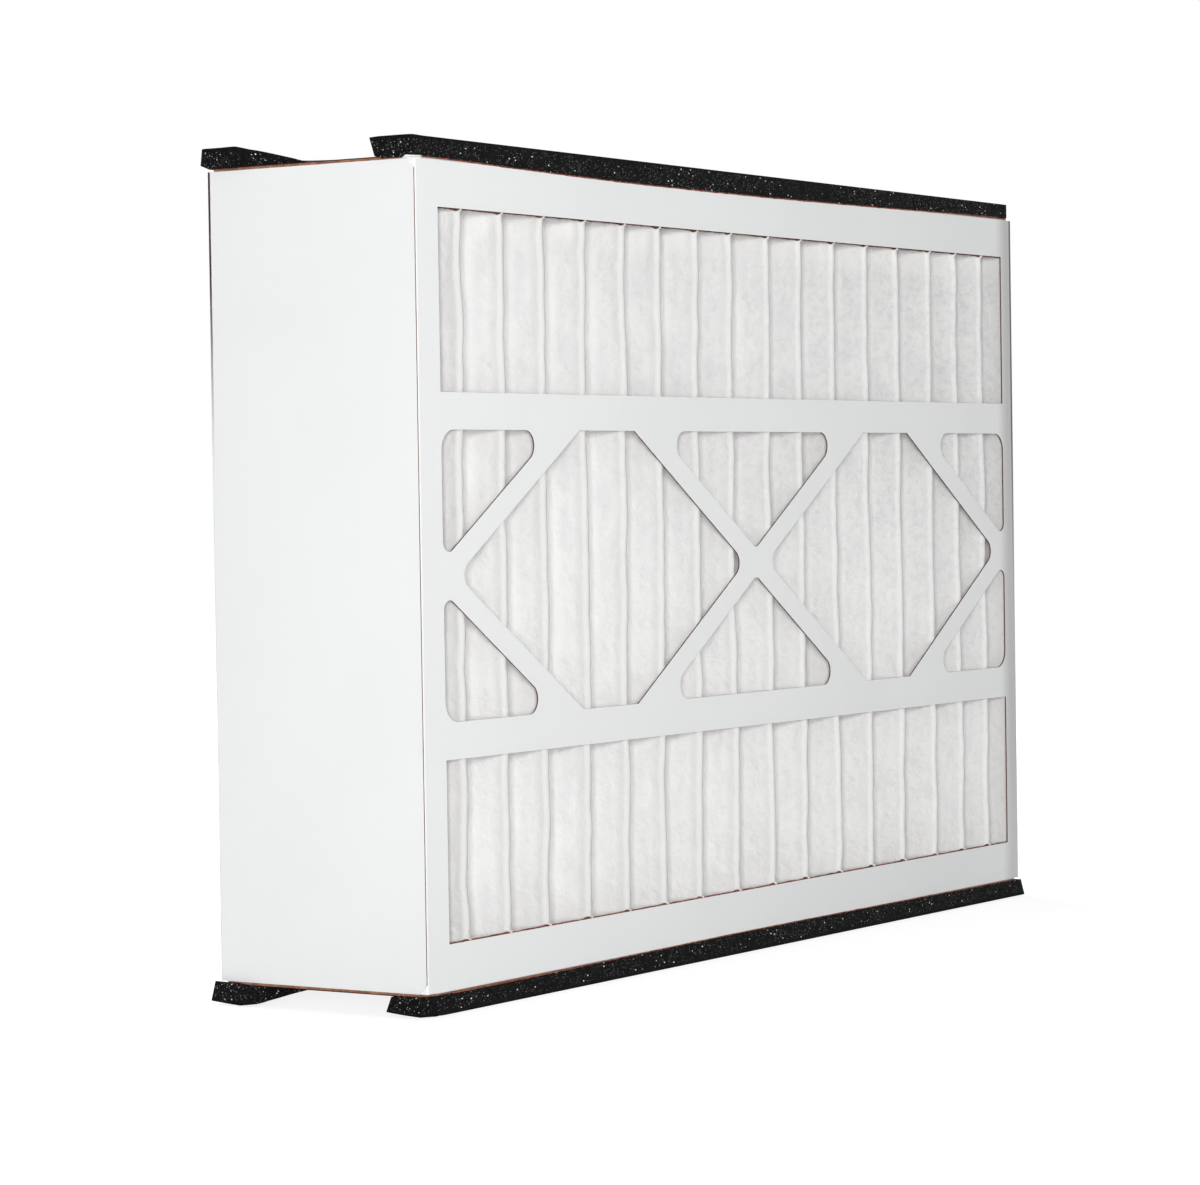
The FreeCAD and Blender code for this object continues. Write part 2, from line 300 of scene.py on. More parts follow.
def cloudy_tint_group():
    """A colour that drifts softly between two tints over the surface."""
    group, shader, given, out = new_group(
        "cloudy_tint",
        [
            ("Place", "Vector", None),
            ("Colour", "Color", (0.8, 0.8, 0.8, 1)),
            ("Tint", "Color", (0.7, 0.7, 0.7, 1)),
            ("Cloud Scale", "Float", 20.0),
            ("Share", "Float", 0.5),
        ],
        [("Colour", "Color"), ("Cloud", "Float")],
    )
    cloud = shader.noise(given["Place"], given["Cloud Scale"], detail=4.0, roughness=0.55)
    cloud = shader.between(cloud, 0.35, 0.68)
    share = shader.math("MULTIPLY", cloud, given["Share"])
    shader.link(shader.mix(share, given["Colour"], given["Tint"]), out["Colour"])
    shader.link(cloud, out["Cloud"])
    return group


def fibre_grain_group():
    """Fine fibres lying every way, as a height from 0 to 1."""
    group, shader, given, out = new_group(
        "fibre_grain",
        [("Place", "Vector", None), ("Scale", "Float", 400.0), ("Stretch", "Float", 5.0)],
        [("Height", "Float")],
    )
    layers = []
    for turn in (0.3, 1.4, 2.5):
        spread = shader.add(
            "ShaderNodeMapping",
            {"Vector": given["Place"], "Rotation": (turn, 0.7 * turn, 1.3 * turn)},
        ).outputs["Vector"]
        parts = shader.axes(spread)
        long_way = shader.math("DIVIDE", parts["X"], given["Stretch"])
        thin = shader.add(
            "ShaderNodeCombineXYZ", {"X": long_way, "Y": parts["Y"], "Z": parts["Z"]}
        ).outputs["Vector"]
        layers.append(shader.noise(thin, given["Scale"], detail=1.0))
    height = shader.math("MAXIMUM", shader.math("MAXIMUM", layers[0], layers[1]), layers[2])
    shader.link(shader.between(height, 0.45, 0.8), out["Height"])
    return group


def use_group(shader, group, **inputs):
    """Places the group in a material. Underscores in the names stand for spaces."""
    node = shader.add("ShaderNodeGroup", node_tree=group)
    for key, value in inputs.items():
        socket = node.inputs[key.replace("_", " ")]
        if isinstance(value, bpy.types.NodeSocket):
            shader.link(value, socket)
        else:
            socket.default_value = value
    return node.outputs


CLOUDY_TINT = cloudy_tint_group()
FIBRE_GRAIN = fibre_grain_group()


# ---------------------------------------------------------------- materials


# Where a surface has another colour than the rest, in metres
FRONT_SIDE = ("Y", -0.0530, -0.0560)
BEFORE_RIGHT_END = ("X", 0.3036, 0.3062, 1.0, 0.0)
HALF_HEIGHT = (TOP - BOTTOM) / 2 * MM

# The coating: painted shade in grey round the soft right fold, where the board turns away
# from the light, a painted dark shade line at its crease in the upper half, and a dark brown
# line along the upper half of the left back fold
COATING_MARKS = (
    (
        (0.54, 0.535, 0.525, 1),
        ("X", 0.2800, 0.2960), FRONT_SIDE, ("Z", 0.02, 0.10, 0.70, 0.92), BEFORE_RIGHT_END,
    ),
    (
        (0.05, 0.048, 0.045, 1),
        ("X", 0.2988, 0.2993), FRONT_SIDE, ("Z", 0.16, 0.29, 0.0, 0.95), BEFORE_RIGHT_END,
    ),
    (
        (0.030, 0.012, 0.010, 1),
        ("ragged", 0.0600, 0.0603), ("X", -0.3058, -0.3062), ("Z", 0.25, 0.36),
    ),
)

# The cut edges: painted shade that makes the outermost ply near black under the foam strips'
# overhang, a greyer upright edge, and darker window edges
EDGE_MARKS = (
    ((0.012, 0.006, 0.005, 1), ("height", HALF_HEIGHT - 0.0006, HALF_HEIGHT - 0.0003)),
    ((0.17, 0.10, 0.085, 1), ("X", -0.3062, -0.3068), ("Y", -0.0595, -0.0605)),
    (
        (0.075, 0.026, 0.016, 1),
        ("across", 0.3030, 0.3000, 0.0, 0.8),
        ("height", HALF_HEIGHT - 0.0080, HALF_HEIGHT - 0.0100),
    ),
)

# The torn ply is darker along the upper windows, painted shade on the underside of their top
# edges, but not at the top of the face
PLY_MARKS = (
    ((0.045, 0.026, 0.022, 1), ("Z", 0.30, 0.34, 0.0, 0.65), ("Z", 0.396, 0.392)),
)

# The media, with painted light and shade: painted light deep in a pleat against its shade,
# painted shade greying its deepest seen part towards the right, painted light below the upper
# edge of the windows and low down, and painted shade greying the ridges, most at the left
MEDIA_MARKS = (
    ((0.97, 0.97, 0.965, 1), ("depth", 0.0500, 0.0400), ("X", -0.30, 0.15, 0.90, 0.75)),
    ((0.42, 0.42, 0.43, 1), ("depth", 0.0448, 0.0422), ("X", -0.10, 0.28, 0.0, 0.42)),
    ((0.96, 0.96, 0.955, 1), ("Z", 0.362, 0.384, 0.0, 0.8)),
    ((0.96, 0.96, 0.955, 1), ("Z", 0.30, 0.09, 0.0, 0.42), ("X", -0.30, 0.05, 0.35, 1.0)),
    ((0.68, 0.68, 0.675, 1), ("depth", 0.0530, 0.0585), ("X", -0.30, 0.30, 0.80, 0.15)),
)


def coated_board_material():
    """The smooth white side of the paperboard."""
    material, shader, surface, place = new_material("coated_board")
    tint = use_group(
        shader,
        CLOUDY_TINT,
        Place=place,
        Colour=(0.865, 0.872, 0.880, 1),
        Tint=(0.835, 0.842, 0.852, 1),
        Cloud_Scale=7.0,
        Share=0.6,
    )
    grain = use_group(shader, FIBRE_GRAIN, Place=place, Scale=900.0, Stretch=3.0)
    axes = shader.axes(place)
    ragged = shader.math("MULTIPLY", shader.noise(place, 90.0, detail=2.0), 0.0004)
    axes["ragged"] = shader.math("ADD", axes["Y"], ragged)
    # The marks paint shade in grey round the right fold and as a dark line at its crease
    shader.link(shader.mark(tint["Colour"], axes, COATING_MARKS), surface["Base Color"])
    surface["Specular IOR Level"].default_value = 0.35
    shader.link(shader.between(grain["Height"], 0.0, 1.0, 0.50, 0.58), surface["Roughness"])
    ripple = shader.noise(place, 9.0, detail=1.0)
    wavy = shader.bump(ripple, 0.25, 0.004)
    shader.link(shader.bump(grain["Height"], 0.08, 0.0001, wavy), surface["Normal"])
    return material


def kraft_board_material():
    """The unbleached brown inside of the paperboard."""
    material, shader, surface, place = new_material("kraft_board")
    grain = use_group(shader, FIBRE_GRAIN, Place=place, Scale=500.0, Stretch=6.0)
    tint = use_group(
        shader,
        CLOUDY_TINT,
        Place=place,
        Colour=(0.36, 0.20, 0.125, 1),
        Tint=(0.30, 0.155, 0.095, 1),
        Cloud_Scale=60.0,
        Share=0.8,
    )
    flecks = shader.math("MULTIPLY", grain["Height"], 0.25)
    shader.link(shader.mix(flecks, tint["Colour"], (0.50, 0.33, 0.22, 1)), surface["Base Color"])
    surface["Roughness"].default_value = 0.85
    surface["Specular IOR Level"].default_value = 0.2
    shader.link(shader.bump(grain["Height"], 0.3, 0.0002), surface["Normal"])
    return material


def cut_edge_material():
    """The reddish brown cut edge of the paperboard, with its plies showing."""
    material, shader, surface, place = new_material("cut_board_edge")
    patches = shader.noise(place, 160.0, detail=3.0, roughness=0.6)
    patches = shader.between(patches, 0.38, 0.62)
    warm = shader.mix(patches, (0.27, 0.105, 0.060, 1), (0.40, 0.19, 0.125, 1))
    torn = shader.noise(place, 1400.0, detail=1.0)
    pale = shader.between(torn, 0.60, 0.72, 0.0, 0.45)
    plies = shader.mix(pale, warm, (0.66, 0.52, 0.43, 1))
    axes = shader.axes(place)
    height = shader.math("ABSOLUTE", shader.math("SUBTRACT", axes["Z"], MIDDLE_Z * MM))
    axes["height"] = height
    axes["across"] = shader.math("ABSOLUTE", axes["X"])
    # Painted shade: the outermost ply at the top and bottom is near black under the foam
    plies = shader.mark(plies, axes, EDGE_MARKS)

    # Coating covers the left front corner, and less of it lower down
    x_reach = shader.between(axes["Z"], 0.15, 0.30, -0.3058, -0.3000)
    y_reach = shader.between(axes["Z"], 0.15, 0.30, -0.0604, -0.0558)
    corner = shader.times(
        shader.between(shader.math("SUBTRACT", axes["X"], x_reach), 0.0006, -0.0006),
        shader.between(shader.math("SUBTRACT", axes["Y"], y_reach), 0.0006, -0.0006),
        shader.between(height, HALF_HEIGHT - 0.0040, HALF_HEIGHT - 0.0030),
    )
    shader.link(shader.mix(corner, plies, (0.84, 0.84, 0.84, 1)), surface["Base Color"])
    surface["Roughness"].default_value = 0.9
    surface["Specular IOR Level"].default_value = 0.15
    shader.link(shader.bump(torn, 0.5, 0.0002), surface["Normal"])
    return material


def torn_ply_material():
    """Dark brown fibres of the board's middle, torn out along a window."""
    material, shader, surface, place = new_material("torn_ply")
    patches = shader.noise(place, 300.0, detail=3.0, roughness=0.65)
    patches = shader.between(patches, 0.36, 0.64)
    tone = shader.mix(patches, (0.15, 0.045, 0.032, 1), (0.36, 0.130, 0.085, 1))
    # Painted shade: the ply along the upper windows is darkened
    shader.link(shader.mark(tone, shader.axes(place), PLY_MARKS), surface["Base Color"])
    surface["Roughness"].default_value = 0.95
    surface["Specular IOR Level"].default_value = 0.1
    return material


def media_material():
    """Lofty white non-woven: mottled where the web is thicker, with loose fibres."""
    material, shader, surface, place = new_material("nonwoven_media")
    tint = use_group(
        shader,
        CLOUDY_TINT,
        Place=place,
        Colour=(0.83, 0.83, 0.825, 1),
        Tint=(0.775, 0.77, 0.785, 1),
        Cloud_Scale=55.0,
        Share=0.75,
    )
    clumps = shader.noise(place, 260.0, detail=4.0, roughness=0.7)
    fibres = use_group(shader, FIBRE_GRAIN, Place=place, Scale=1100.0, Stretch=9.0)
    axes = shader.axes(place)
    axes["depth"] = shader.math("ABSOLUTE", axes["Y"])
    dim = shader.times(
        shader.between(clumps, 0.34, 0.56, 0.30, 0.0),
        shader.between(axes["X"], -0.30, 0.30, 0.35, 1.15),
    )
    tone = shader.mix(dim, tint["Colour"], (0.56, 0.56, 0.58, 1))
    lit = shader.math("MULTIPLY", fibres["Height"], 0.14)
    tone = shader.mix(lit, tone, (0.86, 0.86, 0.86, 1))
    # The marks paint light into the pleats and shade onto the ridges
    shader.link(shader.mark(tone, axes, MEDIA_MARKS), surface["Base Color"])
    surface["Roughness"].default_value = 1.0
    surface["Specular IOR Level"].default_value = 0.1
    surface["Sheen Weight"].default_value = 0.15
    surface["Sheen Roughness"].default_value = 0.6
    soft = shader.bump(tint["Cloud"], 0.30, 0.0015)
    lumpy = shader.bump(clumps, 0.30, 0.0010, soft)
    shader.link(shader.bump(fibres["Height"], 0.25, 0.0002, lumpy), surface["Normal"])
    return material


def glue_material():
    """Off-white glue, a little glossy, with small dips and bubbles."""
    material, shader, surface, place = new_material("pleat_glue")
    lumps = shader.noise(place, 220.0, detail=3.0)
    deeper = shader.between(lumps, 0.35, 0.65)
    tone = shader.mix(deeper, (0.78, 0.75, 0.66, 1), (0.70, 0.66, 0.55, 1))
    shader.link(tone, surface["Base Color"])
    shader.link(shader.between(lumps, 0.3, 0.7, 0.28, 0.42), surface["Roughness"])
    shader.link(shader.bump(lumps, 0.5, 0.0008), surface["Normal"])
    return material


# The foam's bright specks: how fine, how large, what share stays black, and their colour
FOAM_SPECKS = (
    (450.0, 0.180, 0.24, (1.00, 1.00, 1.00, 1)),
    (720.0, 0.23, 0.32, (0.36, 0.36, 0.37, 1)),
    (1000.0, 0.33, 0.32, (0.11, 0.11, 0.11, 1)),
)
# Past this height over the middle no specks show: painted shade on the foam's outer rim
SPECKS_END = HALF_HEIGHT + 0.007


def foam_material():
    """Black closed-cell foam: small open cells on the cut faces, and bright specks."""
    material, shader, surface, place = new_material("black_foam")
    drawn_out = shader.add(
        "ShaderNodeMapping", {"Vector": place, "Scale": (0.55, 1.0, 1.0)}
    ).outputs["Vector"]
    cells = shader.add("ShaderNodeTexVoronoi", {"Vector": place, "Scale": 900.0})
    wall = shader.between(cells.outputs["Distance"], 0.1, 0.6)
    tone = shader.noise(place, 300.0, detail=3.0, roughness=0.7)
    paler = shader.between(tone, 0.35, 0.7)
    base = shader.mix(paler, (0.0022, 0.0022, 0.0024, 1), (0.0085, 0.0085, 0.009, 1))
    clusters = shader.between(shader.noise(place, 42.0, detail=2.0), 0.34, 0.58, 0.35, 1.0)
    height = shader.math("SUBTRACT", shader.axes(place)["Z"], MIDDLE_Z * MM)
    height = shader.math("ABSOLUTE", height)
    # Painted shade: no specks on the strips' outer rim, where the edge turns away from the light
    shaded_rim = shader.between(height, SPECKS_END, SPECKS_END + 0.001, 1.0, 0.0)
    clusters = shader.times(clusters, shaded_rim)
    for scale, reach, rarity, colour in FOAM_SPECKS:
        grit = shader.add("ShaderNodeTexVoronoi", {"Vector": drawn_out, "Scale": scale})
        parts = shader.add("ShaderNodeSeparateColor", {"Color": grit.outputs["Color"]}).outputs
        near = shader.between(grit.outputs["Distance"], reach * 0.6, reach, 1.0, 0.0)
        chosen = shader.math("GREATER_THAN", parts["Red"], rarity)
        lit = shader.between(parts["Green"], 0.0, 0.7)
        base = shader.mix(shader.times(near, chosen, clusters, lit), base, colour)
    shader.link(base, surface["Base Color"])
    surface["Roughness"].default_value = 0.9
    surface["Specular IOR Level"].default_value = 0.08
    pits = shader.bump(wall, 0.6, 0.0005)
    shader.link(shader.bump(tone, 0.5, 0.0008, pits), surface["Normal"])
    return material


COATED = coated_board_material()
KRAFT = kraft_board_material()
CUT_EDGE = cut_edge_material()
TORN_PLY = torn_ply_material()
NONWOVEN = media_material()
GLUE = glue_material()
FOAM = foam_material()


# ---------------------------------------------------------------- the two trays


def dress_tray(node):
    """Coated white outside, brown inside, and cut edges where the board ends.

    A face that has the board's other side right behind it is a side of the board:
    the outer one if it faces away from the filter's middle. Any other face is cut, but
    the front's clipped corners are coated."""
    dress(node, COATED, KRAFT, CUT_EDGE)
    mesh = node.data
    tree = BVHTree.FromPolygons(
        [v.co for v in mesh.vertices], [tuple(p.vertices) for p in mesh.polygons]
    )
    middle = Vector((0, 0, MIDDLE_Z * MM))
    for face in mesh.polygons:
        centre = face.center
        normal = face.normal
        start = centre - normal * 1e-5
        hit = tree.ray_cast(start, -normal)
        through = hit[3] if hit[0] is not None else 1.0
        clipped_corner = abs(normal.y) > 0.2 and abs(normal.z) > 0.2
        if through > 1.5 * BOARD * MM:
            coated = clipped_corner and abs(centre.x) > 0.3 and centre.y < 0
            face.material_index = 0 if coated else 2
        elif (centre - middle).dot(normal) > 0:
            face.material_index = 0
        else:
            face.material_index = 1


for tray in ("front_frame", "back_frame"):
    dress_tray(frame["nodes"][tray])
for bead in ("end_seal_left", "end_seal_right"):
    dress(frame["nodes"][bead], GLUE)


# ---------------------------------------------------------------- windows

WINDOW_X = 288.2
BAND_Z = 69.6
WIDE_LOW = 87.4
WIDE_HIGH = 174.85
DIAMOND_X = 144.1
DIAMOND_FLAT = 25.3
DIAMOND_TIP = 132.8
TRIANGLE_X = 96.1
TRIANGLE_TIP = 7.3


def window_corners():
    """The corners of every window of a face, as (x, height over the middle)."""
    windows = []
    for up in (1, -1):
        low, high = sorted((up * WIDE_LOW, up * WIDE_HIGH))
        windows.append([(-WINDOW_X, low), (WINDOW_X, low), (WINDOW_X, high), (-WINDOW_X, high)])
        base, tip = up * BAND_Z, up * TRIANGLE_TIP
        windows.append([(-TRIANGLE_X, base), (TRIANGLE_X, base), (0, tip)])
        for side in (1, -1):
            edge = side * WINDOW_X
            windows.append([(edge - side * TRIANGLE_X, base), (edge, base), (edge, tip)])
    for side in (1, -1):
        x = side * DIAMOND_X
        windows.append([
            (x - DIAMOND_FLAT, BAND_Z), (x + DIAMOND_FLAT, BAND_Z), (x + DIAMOND_TIP, 0),
            (x + DIAMOND_FLAT, -BAND_Z), (x - DIAMOND_FLAT, -BAND_Z), (x - DIAMOND_TIP, 0),
        ])
    return windows


def edge_lines(corners):
    """Each edge as (point, inward unit normal)."""
    middle = (
        sum(x for x, z in corners) / len(corners),
        sum(z for x, z in corners) / len(corners),
    )
    lines = []
    for i, (x, z) in enumerate(corners):
        next_x, next_z = corners[(i + 1) % len(corners)]
        along = math.hypot(next_x - x, next_z - z)
        normal = (-(next_z - z) / along, (next_x - x) / along)
        if (middle[0] - x) * normal[0] + (middle[1] - z) * normal[1] < 0:
            normal = (-normal[0], -normal[1])
        lines.append((x, z, normal))
    return lines


WINDOW_EDGES = [edge_lines(corners) for corners in window_corners()]


def depth_in_window(x, z):
    """How far inside a window the point lies, in millimetres; negative outside."""
    height = z - MIDDLE_Z
    return max(
        min((x - ex) * n[0] + (height - ez) * n[1] for ex, ez, n in lines)
        for lines in WINDOW_EDGES
    )


# ---------------------------------------------------------------- pleated media

LEG_STEPS = (0.0, 0.05, 0.14, 0.32, 0.5, 0.68, 0.86, 0.95, 1.0)
ARC_STEPS = 6
ROWS = 98
FOLD_RADIUS = 1.6
FOLD_RUN = PITCH / 2
NEAR_WINDOW_EDGE = (0.8, 4.5)
RIDGE_OUT = 0.85
RIDGE_BACK = 0.30
RIDGE_BACK_CHANGE = 0.25
LEG_BELLY = 1.5
LEG_RIPPLE = 0.45

# How far the folds stray, over what height, and where each fold's own wave is read
FOLD_WAVES = ((1.1, 60.0, 7.3, 0.5), (1.7, 27.0, 5.1, 9.5), (0.8, 11.0, 3.7, 4.5))

# The tail behind the last ridge: its turn in degrees, then its way to the end flap
TAIL_TURNS = (150, 120, 90, 60, 40)
TAIL_PLACES = ((4.5, -57.0), (8.5, -54.5), (9.9, -51.5))

LEG_TILT = math.atan2(FOLD_RUN, 2 * RIDGE_Y) - math.asin(
    2 * FOLD_RADIUS / math.hypot(FOLD_RUN, 2 * RIDGE_Y)
)


def web_stations():
    """Points along the folded web, as (fold, share of the way to the next, x, y).

    x is counted from the fold that the point belongs to, and both are for an even
    pack. A point on a leg belongs to the fold before it."""
    stations = []
    cos_tilt, sin_tilt = math.cos(LEG_TILT), math.sin(LEG_TILT)
    for fold in range(FOLDS):
        side = -1 if fold % 2 == 0 else 1
        if 0 < fold < FOLDS - 1:
            sweep = math.pi - 2 * LEG_TILT
            for step in range(1, ARC_STEPS):
                angle = math.pi - LEG_TILT - sweep * step / ARC_STEPS
                x = FOLD_RADIUS * math.cos(angle)
                y = side * (RIDGE_Y + FOLD_RADIUS * math.sin(angle))
                stations.append((fold, 0.0, x, y))
        if fold < FOLDS - 1:
            start = (FOLD_RADIUS * cos_tilt, side * (RIDGE_Y + FOLD_RADIUS * sin_tilt))
            end = (FOLD_RUN - FOLD_RADIUS * cos_tilt, -start[1])
            for t in LEG_STEPS:
                if fold == 0 and t == 0:
                    continue
                x = start[0] + (end[0] - start[0]) * t
                y = start[1] + (end[1] - start[1]) * t
                stations.append((fold, t, x, y))
    # The last ridge turns back, and its tail runs to the glue on the end flap
    for turn in TAIL_TURNS:
        angle = math.radians(turn)
        x, y = FOLD_RADIUS * math.cos(angle), -RIDGE_Y - FOLD_RADIUS * math.sin(angle)
        stations.append((FOLDS - 1, 0.0, x, y))
    for x, y in TAIL_PLACES:
        stations.append((FOLDS - 1, 0.0, x, y))
    return stations


def fold_shift(fold, z):
    """How far the fold strays sideways at this height."""
    if fold == 0:
        return 0.0
    share = (z - LOWER_Z) / (UPPER_Z - LOWER_Z)
    before, after = RIDGE_SHIFTS[fold // 2], RIDGE_SHIFTS[(fold + 1) // 2]
    upper, lower = (before[0] + after[0]) / 2, (before[1] + after[1]) / 2
    shift = lower + (upper - lower) * share
    for size, height, apart, layer in FOLD_WAVES:
        shift += size * wave(z / height, apart * fold, layer)
    return shift


def web_point(station, z):
    """The web's middle at this station and height, in millimetres."""
    fold, t, x, y = station
    here = fold_shift(fold, z)
    there = fold_shift(fold + 1, z) if t > 0 else here
    fold_x = FIRST_RIDGE + FOLD_RUN * fold
    place_x = fold_x + x + here + (there - here) * t
    belly = 4 * t * (1 - t)
    place_x += belly * LEG_BELLY * wave(z / 55.0, 2.9 * fold, 20.0 + t)
    ripple = smoothstep(0.0, 0.04, t * (1 - t)) * LEG_RIPPLE
    place_x += ripple * wave(z / 13.0, y / 13.0, 4.3 * fold)
    reach = abs(y) - RIDGE_Y
    if reach > 0:
        # A ridge stands out into a window, and is held back behind the board
        out = RIDGE_OUT * smoothstep(*NEAR_WINDOW_EDGE, depth_in_window(place_x, z))
        back = RIDGE_BACK + RIDGE_BACK_CHANGE * wave(z / 17.0, 6.1 * fold, 31.0)
        y += math.copysign((out - back) * reach / FOLD_RADIUS, y)
    return min(place_x, -FIRST_RIDGE), y, z


def pleated_web():
    """The media: a flat grid as long as the web, folded point by point, then thick."""
    stations = web_stations()
    columns = len(stations)
    bpy.ops.mesh.primitive_grid_add(x_subdivisions=columns - 1, y_subdivisions=ROWS, size=1.0)
    web = name_piece("pleated_web")
    mesh = web.data
    for vertex in mesh.vertices:
        column = round((vertex.co.x + 0.5) * (columns - 1))
        row = round((vertex.co.y + 0.5) * ROWS)
        z = MEDIA_LOW + (MEDIA_HIGH - MEDIA_LOW) * row / ROWS
        vertex.co = Vector(web_point(stations[column], z)) * MM
    apply_modifier(web, "SOLIDIFY", thickness=MEDIA * MM, offset=0.0, use_even_offset=False)
    face_outwards(web)
    bpy.ops.object.shade_smooth_by_angle(angle=math.radians(60))
    dress(web, NONWOVEN)
    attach(web, "root")
    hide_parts("pleated_media")
    return web


def web_length():
    """The web's length before it was folded, in metres."""
    points = [web_point(station, MIDDLE_Z) for station in web_stations()]
    fold_gaps = [math.dist(a, b) for a, b in zip(points, points[1:])]
    return sum(fold_gaps) * MM


web = pleated_web()
web_length()


# ---------------------------------------------------------------- glue lines

GLUE_HALF = 1.7
GLUE_ROWS = 4
GLUE_PROFILE = ((-1.0, 0.0), (-0.72, 0.8), (0.0, 1.0), (0.72, 0.8), (1.0, 0.0))
GLUE_STEPS = (0.0, 0.05, 0.32, 0.68, 0.95, 1.0)
UPPER_FLAP = 404.9
LOWER_FLAP = 11.0
TRAY_INSIDE_Y = 60.55


def glue_line(name, node, flap_z, web_end):
    """A bead of glue that follows the web's end along a long flap."""
    stations = [station for station in web_stations() if station[1] in GLUE_STEPS]
    columns = len(stations)
    bpy.ops.mesh.primitive_grid_add(
        x_subdivisions=columns - 1, y_subdivisions=GLUE_ROWS, size=1.0
    )
    bead = name_piece(name)
    points = [Vector(web_point(station, web_end)) for station in stations]
    toward = 1 if web_end > flap_z else -1
    for vertex in bead.data.vertices:
        column = round((vertex.co.x + 0.5) * (columns - 1))
        row = round((vertex.co.y + 0.5) * GLUE_ROWS)
        before = points[max(0, column - 1)]
        after = points[min(columns - 1, column + 1)]
        along = (after - before).normalized()
        across = Vector((-along.y, along.x, 0))
        width = GLUE_HALF * (1 + 0.25 * wave(column * 0.37, 3.0, 8.0))
        out, rise = GLUE_PROFILE[row]
        over = 0.9 + 0.4 * wave(column * 0.31, 11.0, 2.0)
        height = (web_end - flap_z + toward * over) * rise
        point = points[column] + across * (out * width)
        point.y = max(-TRAY_INSIDE_Y, min(TRAY_INSIDE_Y, point.y))
        vertex.co = Vector((point.x, point.y, flap_z + height)) * MM
    face_outwards(bead)
    bpy.ops.object.shade_smooth()
    dress(bead, GLUE)
    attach(bead, "root")
    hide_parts(node)


glue_line("glue_line_top", "pleat_seal_top", UPPER_FLAP, MEDIA_HIGH)
glue_line("glue_line_bottom", "pleat_seal_bottom", LOWER_FLAP, MEDIA_LOW)


# ---------------------------------------------------------------- foam strips

# Stations along a strip from either end, and rows from its inner to its outer edge
FOAM_NEAR = (0.0, 1.6, 3.2, 5.0, 8.0, 12.0, 17.0, 23.0, 30.0, 38.0, 47.0, 57.0, 68.0, 80.0)
FOAM_MIDDLE = 20
FOAM_STRAIGHT = HALF_X - FOAM_NEAR[-1]
FOAM_X = [-HALF_X + near for near in FOAM_NEAR]
FOAM_X += [-FOAM_STRAIGHT + 2 * FOAM_STRAIGHT * i / FOAM_MIDDLE for i in range(1, FOAM_MIDDLE)]
FOAM_X += [HALF_X - near for near in reversed(FOAM_NEAR)]
FOAM_ROWS = (0.0, 0.22, 0.45, 0.66, 0.84, 0.985, 1.0)
FOAM_THICK = 9.5
FOAM_INNER = HALF_Y - 25.4
FOAM_OVER = 0.3
FOAM_UNDERCUT = 1.6
FOAM_CORNER_STEP = 0.4
FOAM_BEVEL = 0.35
PAST_STRIP = 620  # The last row of a table along a strip, further than the strip is long

# How far from the end each part of the cut fades out: how far the left end stands out,
# its slant, its hang over the edge and its thinness, and how far the right end stands out
OUT_REACH = 12.0
SLANT_REACH = 41.0
HANG_REACH = 5.0
THIN_REACH = 8.0
RIGHT_REACH = 60.0

# The hand-cut left ends, from the inner to the outer edge of each strip: how far the
# end stands out, the distance from the filter's middle plane of the glued and the free
# side, how far the foam hangs over the board's edge, and how much thinner it is there
FOAM_ENDS = {
    "foam_top_front": (
        (1.0, 39.9, 37.0, -0.3, 0.3), (1.2, 44.0, 42.5, 1.1, 0.0), (1.2, 50.0, 49.0, 1.2, 0.0),
        (1.2, 56.0, 55.0, 1.2, 0.0), (1.0, 58.0, 59.0, -0.8, 0.0), (0.3, 62.3, 62.3, -0.8, 0.1),
    ),
    "foam_top_back": (
        (4.0, 40.9, 40.9, 0.8, -0.1), (4.0, 45.5, 45.5, 0.6, -0.1), (4.0, 50.0, 50.0, 0.5, 0.0),
        (4.0, 54.0, 54.0, 0.3, 0.0), (4.0, 58.2, 58.0, 0.1, 0.0), (4.0, 62.7, 61.6, -1.3, 0.0),
    ),
    "foam_bottom_front": (
        (2.0, 42.4, 39.3, -0.1, 2.0), (2.0, 46.0, 44.0, 0.7, 1.5), (2.0, 51.0, 50.0, 0.8, 1.0),
        (2.0, 55.0, 55.0, 0.6, 0.7), (1.5, 58.8, 58.8, -0.2, 0.4), (-7.0, 62.2, 62.2, -0.3, 0.1),
    ),
    "foam_bottom_back": (
        (4.0, 36.8, 36.8, 0.2, 1.4), (4.0, 42.5, 42.5, 1.0, 0.6), (4.0, 47.4, 47.4, 1.7, 0.0),
        (4.0, 52.0, 53.0, 1.7, 0.4), (4.0, 57.0, 59.0, 1.8, 0.9), (4.0, 62.4, 65.2, 1.9, 1.4),
    ),
}

# How far the right ends stand out, of the glued and the free side
FOAM_RIGHT = {
    "foam_top_front": (-11.0, -11.0),
    "foam_top_back": (-4.0, -5.0),
    "foam_bottom_front": (-2.9, 1.8),
    "foam_bottom_back": (-1.0, -2.0),
}

# Where each strip's free side dips further along: (from the left end, dip of the
# inner edge, dip of the outer edge)
FOAM_DIPS = {
    "foam_top_front": ((0, 0.3, 0.3), (PAST_STRIP, 1.6, 1.6)),
    "foam_top_back": (
        (0, 0.5, 0.0), (10, 0.8, 0.0), (20, 1.6, 0.0), (30, 2.6, 0.2), (38, 3.4, 0.5),
        (46, 4.4, 0.9), (56, 4.7, 1.6), (66, 3.5, 1.0), (80, 1.3, 0.4), (95, 0.0, 0.0),
        (PAST_STRIP, 0.0, 0.0),
    ),
    "foam_bottom_front": (
        (0, 2.0, 0.4), (15, 0.6, 0.0), (60, 0.0, 0.0), (PAST_STRIP, 0.0, 0.0),
    ),
    "foam_bottom_back": (
        (0, 1.4, 1.4), (26, 3.2, 0.4), (45, 3.9, 0.2), (85, 0.0, 0.0), (PAST_STRIP, 0.0, 0.0),
    ),
}

